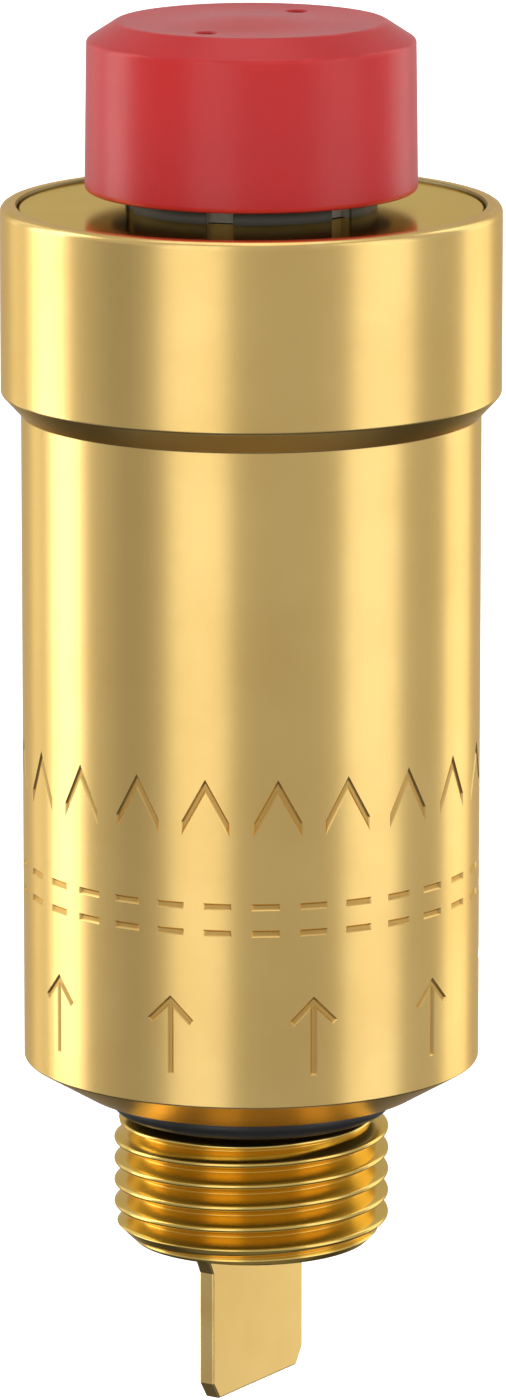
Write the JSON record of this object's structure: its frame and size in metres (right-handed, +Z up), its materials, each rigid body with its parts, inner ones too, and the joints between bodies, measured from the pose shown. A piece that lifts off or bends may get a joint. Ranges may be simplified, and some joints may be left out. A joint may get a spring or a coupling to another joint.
{
  "type": "automatic air vent",
  "caption": "Float-operated automatic air vent in polished brass with a G 3/8 male connection, a screw cap with vent holes and an inlet strip.",
  "frame": {"origin": "centre of the flat sealing face that meets the fitting, on the vent's axis", "axes": "+Z up the vent's axis from the connection to the cap, +X along the width of the inlet strip"},
  "size_m": [0.0298, 0.0298, 0.0839],
  "materials": {
    "polished_brass": "polished",
    "machined_brass": "machined",
    "black_plastic": "moulded, satin",
    "red_plastic": "moulded, semi-gloss",
    "black_rubber": "moulded rubber",
    "stainless_steel": "rolled sheet and drawn wire",
    "white_plastic": "moulded"
  },
  "bodies": {
    "housing_body": {"housing": "polished_brass", "head_plate": "polished_brass", "head_seal": "black_rubber", "valve_insert": "black_plastic", "insert_seal": "black_rubber", "insert_nut": "machined_brass", "valve_seat": "machined_brass", "lever_bracket": "stainless_steel", "pivot_pin": "stainless_steel", "pivot_clips": "stainless_steel", "connection_seal": "black_rubber", "inlet_strip": "machined_brass"},
    "float": {"float_shell": "white_plastic", "float_base": "white_plastic", "float_hook": "stainless_steel"},
    "lever": {"float_lever": "stainless_steel", "link_pin": "stainless_steel"},
    "valve": {"valve_stem": "white_plastic", "valve_pad": "black_rubber", "valve_spring": "stainless_steel"},
    "gasket": {"cap_gasket": "black_rubber"},
    "cap": {"vent_cap": "red_plastic"}
  },
  "joints": [
    {"name": "float_lift", "type": "slide", "parent": "housing_body", "child": "float", "axis": [0, 0, 1], "range_m": [0, 0.004]},
    {"name": "lever_tilt", "type": "hinge", "parent": "housing_body", "child": "lever", "pos_m": [-0.003, 0, 0.041], "axis": [0, -1, 0], "range_deg": [0, 20.79]},
    {"name": "valve_lift", "type": "slide", "parent": "housing_body", "child": "valve", "axis": [0, 0, 1], "range_m": [0, 0.00109], "stiffness_N_per_m": 8, "springref_m": 0.005, "deforming": ["valve_spring"]},
    {"name": "cap_lift", "type": "slide", "parent": "housing_body", "child": "gasket", "axis": [0, 0, 1], "range_m": [-0.00095, 0.00255]},
    {"name": "cap_turn", "type": "hinge", "parent": "gasket", "child": "cap", "pos_m": [0, 0, 0.06], "axis": [0, 0, 1], "range_deg": [-270, 720]}
  ],
  "couplings": [
    {"joint": "lever_tilt", "follows": "float_lift", "rad_per_m": 90.67},
    {"joint": "valve_lift", "follows": "float_lift", "ratio": 0.27052},
    {"joint": "cap_lift", "follows": "cap_turn", "m_per_rad": 0.00019894}
  ]
}
